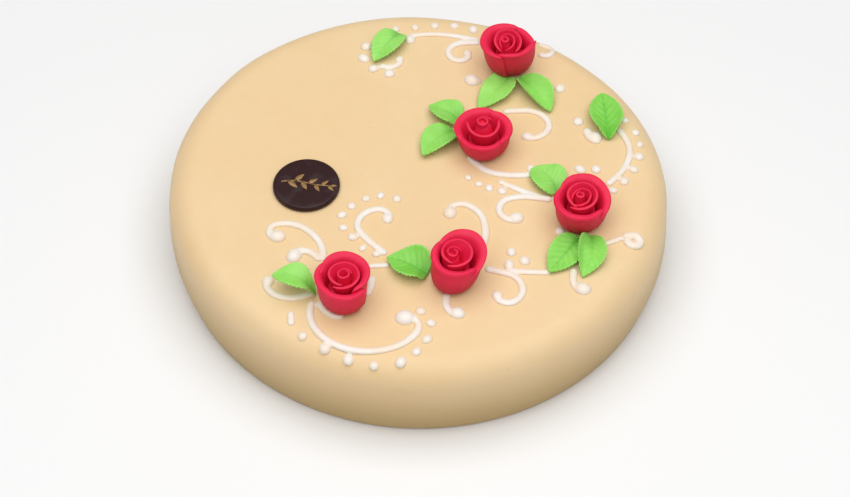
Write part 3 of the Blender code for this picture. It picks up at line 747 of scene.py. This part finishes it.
class CAKE_OT_cover(bpy.types.Operator):
    """Lay the smooth marzipan cover over the cake"""

    bl_idname = "cake.cover"
    bl_label = "Marzipan cover"

    def execute(self, context):
        settings = context.scene.cake_cover
        bm = turned(cover_profile(), settings.sides)
        for vertex in bm.verts:
            x, y, z = vertex.co
            angle = atan2(y, x)
            share = outline(angle)
            up = min(1, z / (CAKE_HEIGHT - SHOULDER_ROUND))
            sideways = settings.dents * unevenness(x, y, z, DENT_SIZE) * up
            on_side = min(1, max(0, hypot(x, y) / SHOULDER_RADIUS - SIDE_START) / SIDE_BLEND)
            vertex.co.x = x * share + cos(angle) * sideways * on_side
            vertex.co.y = y * share + sin(angle) * sideways * on_side
            if z > CAKE_HEIGHT - SHOULDER_ROUND:
                vertex.co.z += TOP_DENT * unevenness(x, y, 0, TOP_DENT_SIZE, 1)
        finished_piece("marzipan_cover", bm, marzipan(settings), "marzipan", "cake")
        return {"FINISHED"}


def piped_line(bm, scroll, settings, seed):
    """Adds a half-round line of icing along a scroll's path, thinning at both ends, and gives its end."""
    start = (scroll.x * MM, scroll.y * MM)
    path = arc_chain(start, scroll.heading, scroll.length * MM, scroll.bends, LINE_STEP)
    last = len(path) - 1
    cap = None
    for index, (place, angle) in enumerate(path):
        ends = min(index, last - index) * LINE_STEP
        uneven = 1 + LINE_UNEVENNESS * unevenness(index * LINE_STEP, 0, 0, LINE_WAVE, seed)
        width = (settings.fullness * scroll.width * MM + 2 * settings.spread) * uneven
        size = sqrt(min(1, (ends + LINE_END) / (width / 2)))
        half = width / 2 * size
        across = Vector((sin(angle), -cos(angle)))
        ground = top_height(*place)
        height = width * settings.line_height * size
        ring = [(*(place + across * half), ground - LINE_SINK)]
        for step in range(1, LINE_ARC_STEPS):
            turn = pi * step / LINE_ARC_STEPS
            ring.append((*(place + across * half * cos(turn)), ground + height * sin(turn)))
        ring.append((*(place - across * half), ground - LINE_SINK))
        if cap is None:
            cap = bm.faces.new([bm.verts.new(point) for point in ring])
            continue
        cap = bmesh.ops.extrude_discrete_faces(bm, faces=[cap])["faces"][0]
        for vertex, point in zip(cap.verts, ring):
            vertex.co = point
    return path[-1]


def drop(bm, x, y, radius, height, stretch=1.0, turn=0.0, peak=0.0):
    """Adds a flattened ball of icing, sunk a little into the cover, with a soft peak."""
    made = bmesh.ops.create_uvsphere(bm, u_segments=DROP_SEGMENTS, v_segments=DROP_RINGS, radius=1)["verts"]
    ground = top_height(x, y)
    for vertex in made:
        side, along, up = vertex.co
        flat_x, flat_y = side * radius * stretch, along * radius / stretch
        vertex.co.x = flat_x * cos(turn) - flat_y * sin(turn) + x
        vertex.co.y = flat_x * sin(turn) + flat_y * cos(turn) + y
        nib = peak * exp(-(side * side + along * along) / NIB_SPREAD) if up > 0 else 0
        vertex.co.z = up * height + nib + ground - DROP_SINK * height


class CAKE_OT_icing(bpy.types.Operator):
    """Pipe the scrolls, bulbs and dots of icing on the cake's top"""

    bl_idname = "cake.icing"
    bl_label = "Piped icing"

    def execute(self, context):
        settings = context.scene.cake_icing
        draw = random.Random(DOT_SEED)
        bm = bmesh.new()
        for number, scroll in enumerate(SCROLLS):
            end, angle = piped_line(bm, scroll, settings, number)
            if scroll.bulb:
                radius = scroll.bulb * MM
                inward = radius * BULB_INWARD * (1 if sum(scroll.bends) >= 0 else -1)
                middle = end + Vector((-sin(angle), cos(angle))) * inward
                height = 2 * radius * settings.bulb_height
                drop(bm, middle.x, middle.y, radius, height, BULB_STRETCH, angle)
        for x, y, radius in BLOBS:
            drop(bm, x * MM, y * MM, radius * MM, 2 * radius * MM * settings.bulb_height)
        for row in DOT_ROWS:
            path = arc_chain((row.x * MM, row.y * MM), row.heading, row.length * MM, row.bends, DOT_STEP)
            for index in range(row.count):
                place = path[round(index * (len(path) - 1) / (row.count - 1))][0]
                uneven = draw.uniform(1 - DOT_UNEVENNESS, 1 + DOT_UNEVENNESS)
                radius = (settings.fullness * row.radius * MM + settings.spread) * uneven
                stretch = draw.uniform(1, 1 + DOT_UNEVENNESS)
                turn = draw.uniform(0, pi)
                drop(bm, place.x, place.y, radius, radius * settings.dot_height, stretch, turn, NIB_HEIGHT)
        bmesh.ops.holes_fill(bm, edges=bm.edges, sides=0)
        piece = finished_piece("piped_icing", bm, white_icing(settings), "icing", "cake")
        run_together(piece, settings.voxel)
        rise = piece.data.attributes.new("rise", "FLOAT", "POINT")
        for vertex in piece.data.vertices:
            x, y, z = vertex.co - MIDDLE
            rise.data[vertex.index].value = (z - top_height(x, y)) / MM
        return {"FINISHED"}


def run_together(piece, voxel):
    """Melts a piece's overlapping shells into one soft surface, and keeps the result as its mesh."""
    melt = piece.modifiers.new("melt", "REMESH")
    melt.mode = "VOXEL"
    melt.voxel_size = voxel
    melt.use_smooth_shade = True
    soften = piece.modifiers.new("soften", "SMOOTH")
    soften.factor = 0.5
    soften.iterations = 2
    context = bpy.context
    context.view_layer.update()
    evaluated = piece.evaluated_get(context.evaluated_depsgraph_get())
    mesh = bpy.data.meshes.new_from_object(evaluated)
    piece.modifiers.clear()
    rough = piece.data
    piece.data = mesh
    mesh.name = piece.name
    bpy.data.meshes.remove(rough)


def outer_faces(radius, height, droop, flare):
    """An outer petal's outside and inside, radius and height from its foot to its flared edge."""
    spread = flare * (radius - BODY * radius)
    outside, inside = [
        [(level.across * radius + level.flare * spread,
          level.up * height - level.under * MM - level.droop * droop) for level in levels]
        for levels in (OUTSIDE_LEVELS, INSIDE_LEVELS)]
    inside.insert(-1, (mix(MOUTH * radius, BODY * radius, flare), height - MOUTH_DEPTH))
    return outside, inside


def inner_faces(radius, height, floor, foot, wall):
    """An inner petal's outside and inside, radius and height from the floor of the cup to its edge."""
    outside = (
        (foot * radius, floor - PETAL_SINK),
        (mix(foot, 1, 0.5) * radius, mix(floor, height, 0.5)),
        (radius, height - 0.9 * MM),
        (radius + 0.2 * MM, height - 0.3 * MM),
    )
    root = max(foot * radius - ROOT_WALLS * wall, 0.3 * MM)
    inside = (
        (root, floor - PETAL_SINK),
        (mix(root, radius - wall, 0.6), mix(floor, height, 0.55)),
        (radius - wall, height - 0.7 * MM),
        (radius - 0.75 * wall, height),
    )
    return outside, inside


def add_petal(bm, petal, offset, rose_height, settings, seed):
    """Adds one petal, standing about the rose's own axis, thinner at its edge and its ends."""
    floor = rose_height - CUP_DEPTH
    outer = bool(petal.lip)
    wall = settings.thickness * (PETAL_WALL if petal.radius0 > BUD_RADIUS else BUD_WALL)

    def place(along, up, face):
        bump = sin(pi * along)
        close = min(along, 1 - along)
        widening = 1 + SEAM_SLANT * (1 - up) ** 2 if outer else 1
        angle = radians(petal.start + petal.sweep * (0.5 + (along - 0.5) * widening))
        wave = settings.waviness * (1 if outer else 0.5) * min(1, 4 * bump)
        radius = (mix(petal.radius0, petal.radius1, along) + petal.swell * bump) * MM
        radius += wave * unevenness(cos(angle), sin(angle), 0, PETAL_WAVE, seed)
        height = (mix(petal.height0, petal.height1, along) + petal.crown * bump) * MM
        height += wave * unevenness(cos(angle), sin(angle), 3, LIP_WAVE, seed)
        if outer:
            flare = mix(END_FLARE, 1, min(1, close / END_FLARE_REACH))
            faces = outer_faces(radius, height, petal.lip * MM, flare)
        else:
            faces = inner_faces(radius, height, floor, petal.foot, wall)
        outside, inside = [smooth_path([Vector(point) for point in points], up) for points in faces]
        ends = sqrt(min(1, close / END_WALL_REACH))
        spot = outside if face > 0.5 else outside.lerp(inside, mix(END_WALL, 1, ends))
        return spot.x * cos(angle) + offset, spot.x * sin(angle), spot.y

    column = OUTER_COLUMN if outer else INNER_COLUMN
    sheet(bm, max(8, round(petal.sweep / column)), OUTER_ROWS if outer else INNER_ROWS, place)


def rose_core(bm, height, radius, bud, bud_x, hollow):
    """Adds the solid middle of a rose: a cup with a cone in it that fills the bud."""
    floor = height - CUP_DEPTH
    rim = CORE_RIM * radius
    cone_foot = bud.foot * bud.radius0 * MM - 0.5 * MM
    cone_top = min(bud.height0, bud.height1) * MM - hollow
    core = turned([
        (0, 0),
        (0.46 * radius, 0),
        (0.56 * radius, 0.3 * height),
        (rim, floor),
        (cone_foot, floor - 0.5 * MM),
        (mix(cone_foot, bud.radius0 * MM, 0.5) - 0.5 * MM, mix(floor, cone_top, 0.6)),
        (bud.radius0 * MM - 0.9 * MM, cone_top),
        (0, cone_top + 0.3 * MM),
    ], CORE_SIDES)
    for vertex in core.verts:
        if vertex.co.z > floor - 1 * MM and vertex.co.xy.length < 0.9 * rim:
            vertex.co.x += bud_x
    shape = bpy.data.meshes.new("core")
    core.to_mesh(shape)
    core.free()
    bm.from_mesh(shape)
    bpy.data.meshes.remove(shape)


class CAKE_OT_roses(bpy.types.Operator):
    """Model the marzipan roses"""

    bl_idname = "cake.roses"
    bl_label = "Roses"

    def execute(self, context):
        settings = context.scene.cake_roses
        material = rose_marzipan(settings)
        for number, spec in enumerate(ROSES, 1):
            height = max(petal.height1 for petal in spec.outer) * MM
            radius = sum(petal.radius0 + petal.radius1 for petal in spec.outer) / 2 / len(spec.outer) * MM
            bm = unwrapped()
            rose_core(bm, height, radius, spec.inner[-1], spec.bud_x * MM, spec.hollow * MM)
            for index, petal in enumerate(spec.outer + spec.inner):
                share = max(0, index + 1 - len(spec.outer)) / len(spec.inner)
                add_petal(bm, petal, share * spec.bud_x * MM, height, settings, 10 * number + index)
            for vertex in bm.verts:
                up = vertex.co.z / height
                vertex.co.x += (spec.x + spec.lean_x * up) * MM
                vertex.co.y += (spec.y + spec.lean_y * up) * MM
                vertex.co.z += CAKE_HEIGHT + PIECE_GAP
            node = f"rose_{number}"
            subdivided(finished_piece(f"modelled_{node}", bm, material, "rose_marzipan", node))
        return {"FINISHED"}


def leaf_half_width(along, spec):
    """Half of a leaf's width: a narrow stem, a full middle and a point."""
    full = max(sin(pi * mix(LEAF_STEM, 1, along) ** spec.skew), 0)
    return spec.width / 2 * MM * max(full ** mix(spec.foot, spec.point, along), LEAF_TIP)


def leaf_vein(along, side):
    """How much of a pressed vein there is at a place on a leaf: one in the middle and pairs to the edge."""
    along, side = min(max(along, 0), 1), min(max(side, -1), 1)
    middle = exp(-(side / VEIN_WIDTH) ** 2) * (1 - along) ** 0.3
    ribs = (along - RIB_SLANT * abs(side)) * RIBS
    off_rib = abs(ribs - round(ribs)) / RIBS
    fade = (1 - abs(side)) ** 0.5 * min(1, 6 * along) * min(1, 4 * (1 - along))
    return min(1, middle + RIB_DEPTH * exp(-(off_rib / RIB_WIDTH) ** 2) * fade)


def modelled_leaf(number, spec, settings, material):
    """One leaf, from its pinched base to its raised tip, lying on the cover."""
    base = Vector((spec.base_x, spec.base_y)) * MM
    tip = Vector((spec.tip_x, spec.tip_y)) * MM
    along_axis = (tip - base).normalized()
    left = Vector((-along_axis.y, along_axis.x))
    teeth = round((tip - base).length / TOOTH_LENGTH)

    def place(along, over, face):
        side = 2 * over - 1
        bump = sin(pi * along)
        pinch = (1 - along) ** 1.5
        edge = abs(side) ** LEAF_EDGE_POWER
        tooth = settings.tooth * edge * ((along * teeth) % 1 - 0.5) * min(1, 3 * bump)
        half = leaf_half_width(along, spec) * (1 - LEAF_PINCH * pinch) + tooth
        height = spec.arch * sin(pi * along ** 0.8) + spec.tip_lift * along
        height += spec.fold * pinch * abs(side) * min(1, 5 * along + 0.25)
        height += (spec.cup * side * side + spec.tilt * side) * bump
        curl = spec.curl[0] if side > 0 else spec.curl[1]
        height += curl * max(0, abs(side) - 0.5) ** 2 * 4 * bump
        spot = base.lerp(tip, along) + left * (spec.bend * MM * bump + side * half)
        depth = settings.vein * spec.veins * leaf_vein(along, side)
        thickness = settings.thickness * (1 - LEAF_EDGE_THINNING * edge)
        low = (settings.thickness - thickness) / 2
        rise = height * MM + low + (thickness - depth if face > 0.5 else 0)
        rise += LEAF_WAVE * unevenness(spot.x, spot.y, 0, LEAF_WAVE_SIZE, number)
        return spot.x, spot.y, rise

    bm = unwrapped()
    sheet(bm, LEAF_COLUMNS, LEAF_ROWS, place)
    low = min(vertex.co.z for vertex in bm.verts)
    bmesh.ops.translate(bm, verts=bm.verts, vec=(0, 0, CAKE_HEIGHT + PIECE_GAP - low))
    vein_and_hollow_shade = bm.verts.layers.float.new("vein")
    tone = bm.verts.layers.float.new("pale")
    coords = bm.loops.layers.uv.verify()
    for face in bm.faces:
        for loop in face.loops:
            along, over = loop[coords].uv
            side = 2 * over - 1
            # Painted shade in the hollow at the base, kept with the veins' deeper green in the vein attribute
            hollow = exp(-(along / HOLLOW_SHADE_LENGTH) ** 2 - (side / HOLLOW_SHADE_WIDTH) ** 2)
            loop.vert[vein_and_hollow_shade] = min(1, VEIN_TINT * spec.veins * leaf_vein(along, side) + hollow)
            loop.vert[tone] = spec.pale
    node = f"leaf_{number}"
    subdivided(finished_piece(f"modelled_{node}", bm, material, "leaf_marzipan", node))


class CAKE_OT_leaves(bpy.types.Operator):
    """Model the marzipan leaves"""

    bl_idname = "cake.leaves"
    bl_label = "Leaves"

    def execute(self, context):
        settings = context.scene.cake_leaves
        material = leaf_marzipan(settings)
        for number, spec in enumerate(LEAVES, 1):
            modelled_leaf(number, spec, settings, material)
        return {"FINISHED"}


def add_sprig_leaf(bm, x, y, heading, length, width, ground):
    """Adds one small flat leaf of the gold sprig."""
    turn = radians(heading)

    def place(along, over, face):
        side = (over - 0.5) * width * max(sin(pi * along ** 0.8), 0.06)
        step = along * length
        return (x + step * cos(turn) - side * sin(turn), y + step * sin(turn) + side * cos(turn),
                ground + face * SPRIG_RELIEF)

    sheet(bm, 10, 2, place)


def gold_sprig(material, ground):
    """A small generic sprig in flat relief on the disc."""
    bm = unwrapped()
    plan = SPRIG_STEM
    stem = arc_chain((plan.x * MM, plan.y * MM), plan.heading, plan.length * MM, plan.bends, SPRIG_STEP)

    def place(along, over, face):
        index = min(int(along * (len(stem) - 1)), len(stem) - 1)
        spot, angle = stem[index]
        half = mix(0.5, 0.28, along) * MM * (2 * over - 1)
        return spot.x - sin(angle) * half, spot.y + cos(angle) * half, ground + face * SPRIG_RELIEF

    sheet(bm, len(stem) - 1, 1, place)
    for step in range(SPRIG_LEAVES):
        spot, angle = stem[round((step + 1) * (len(stem) - 1) / (SPRIG_LEAVES + 0.4))]
        length = mix(7, 4.2, step / SPRIG_LEAVES) * MM
        heading = degrees(angle) + (SPRIG_ANGLE if step % 2 else -SPRIG_ANGLE)
        add_sprig_leaf(bm, spot.x, spot.y, heading, length, 0.42 * length, ground)
    end, angle = stem[-1]
    add_sprig_leaf(bm, end.x, end.y, degrees(angle), 3.4 * MM, 1.5 * MM, ground)
    finished_piece("gold_sprig", bm, material, "gold_decoration", "chocolate_disc")


class CAKE_OT_disc(bpy.types.Operator):
    """Cast the chocolate disc and print the gold sprig on it"""

    bl_idname = "cake.disc"
    bl_label = "Chocolate disc"

    def execute(self, context):
        settings = context.scene.cake_disc
        radius, thickness = settings.radius, settings.thickness
        flat = radius - DISC_ROUND
        profile = [(0, 0), (flat * 0.5, 0), (radius - DISC_FOOT_ROUND, 0), (radius, DISC_FOOT_ROUND)]
        round_steps = 8
        for step in range(round_steps + 1):
            turn = pi / 2 * step / round_steps
            profile.append((flat + DISC_ROUND * cos(turn), thickness - DISC_ROUND * (1 - sin(turn))))
        profile += [(flat * share, thickness) for share in (0.85, 0.6, 0.35, 0.15, 0)]
        bm = turned(profile, DISC_SIDES)
        base = CAKE_HEIGHT + PIECE_GAP
        for vertex in bm.verts:
            x, y = vertex.co.x, vertex.co.y
            vertex.co.x += DISC_X * MM
            vertex.co.y += DISC_Y * MM
            if vertex.co.z > 0.9 * thickness:
                vertex.co.z += DISC_WAVE * unevenness(x, y, 0, DISC_WAVE_SIZE, 5)
            vertex.co.z += base
        finished_piece("chocolate_plaque", bm, dark_chocolate(settings), "chocolate", "chocolate_disc")
        gold_sprig(printed_gold(settings), base + thickness - SPRIG_SINK)
        return {"FINISHED"}


def soft_light(name, place, size, power, aim):
    """A square area light that looks at a point."""
    lamp = bpy.data.lights.new(name, "AREA")
    lamp.size = size
    lamp.energy = power
    made = bpy.data.objects.new(name, lamp)
    made.location = place
    made.rotation_euler = (Vector(aim) - Vector(place)).to_track_quat("-Z", "Y").to_euler()
    bpy.context.scene.collection.objects.link(made)


class CAKE_OT_stage(bpy.types.Operator):
    """Set the pale floor, the soft light and the camera"""

    bl_idname = "cake.stage"
    bl_label = "Stage"

    def execute(self, context):
        settings = context.scene.cake_stage
        scene = context.scene
        bm = bmesh.new()
        bmesh.ops.create_grid(bm, x_segments=8, y_segments=8, size=FLOOR_HALF)
        mesh = bpy.data.meshes.new("floor")
        bm.to_mesh(mesh)
        bm.free()
        ground = Finish("pale_floor")
        mesh.materials.append(ground.shade(Base_Color=tuple(settings.floor), Roughness=0.7))
        floor = bpy.data.objects.new("floor", mesh)
        scene.collection.objects.link(floor)

        soft_light("overhead", place=(0, -0.15, 1.3), size=1.8, power=settings.overhead, aim=(0, 0, 0))
        soft_light("front", place=(0.5, -1.3, 1.0), size=1.0, power=settings.front, aim=(0, 0, 0.03))
        world = bpy.data.worlds.new("pale_surroundings")
        world.use_nodes = True
        sky = world.node_tree.nodes["Background"]
        sky.inputs["Color"].default_value = (1, 1, 1, 1)
        sky.inputs["Strength"].default_value = settings.surroundings
        scene.world = world
        scene.view_settings.view_transform = "Standard"

        lens = bpy.data.cameras.new("camera")
        lens.lens = settings.lens
        lens.sensor_width = SENSOR_WIDTH
        camera = bpy.data.objects.new("camera", lens)
        camera.location = Vector(CAMERA_PLACE) * MM + MIDDLE
        camera.rotation_euler = (radians(CAMERA_TILT), 0, 0)
        scene.collection.objects.link(camera)
        scene.camera = camera
        return {"FINISHED"}


class CAKE_PT_sidebar(bpy.types.Panel):
    """The cake's pieces and their settings"""

    bl_label = "Birthday cake"
    bl_idname = "CAKE_PT_sidebar"
    bl_space_type = "VIEW_3D"
    bl_region_type = "UI"
    bl_category = "Cake"

    def draw(self, context):
        for name, group, operator in STEPS:
            box = self.layout.box()
            settings = getattr(context.scene, name)
            for field in group.__annotations__:
                box.prop(settings, field)
            box.operator(operator.bl_idname)


STEPS = (
    ("cake_stage", CakeStageSettings, CAKE_OT_stage),
    ("cake_cover", CakeCoverSettings, CAKE_OT_cover),
    ("cake_icing", PipedIcingSettings, CAKE_OT_icing),
    ("cake_roses", RoseSettings, CAKE_OT_roses),
    ("cake_leaves", LeafSettings, CAKE_OT_leaves),
    ("cake_disc", DiscSettings, CAKE_OT_disc),
)


def register():
    for name, group, operator in STEPS:
        bpy.utils.register_class(group)
        setattr(bpy.types.Scene, name, PointerProperty(type=group))
        bpy.utils.register_class(operator)
    bpy.utils.register_class(CAKE_PT_sidebar)


def unregister():
    bpy.utils.unregister_class(CAKE_PT_sidebar)
    for name, group, operator in reversed(STEPS):
        bpy.utils.unregister_class(operator)
        delattr(bpy.types.Scene, name)
        bpy.utils.unregister_class(group)


def main():
    register()
    bpy.ops.cake.stage()
    bpy.ops.cake.cover()
    bpy.ops.cake.icing()
    bpy.ops.cake.roses()
    bpy.ops.cake.leaves()
    bpy.ops.cake.disc()
    bpy.context.view_layer.update()


if __name__ == "__main__":
    main()
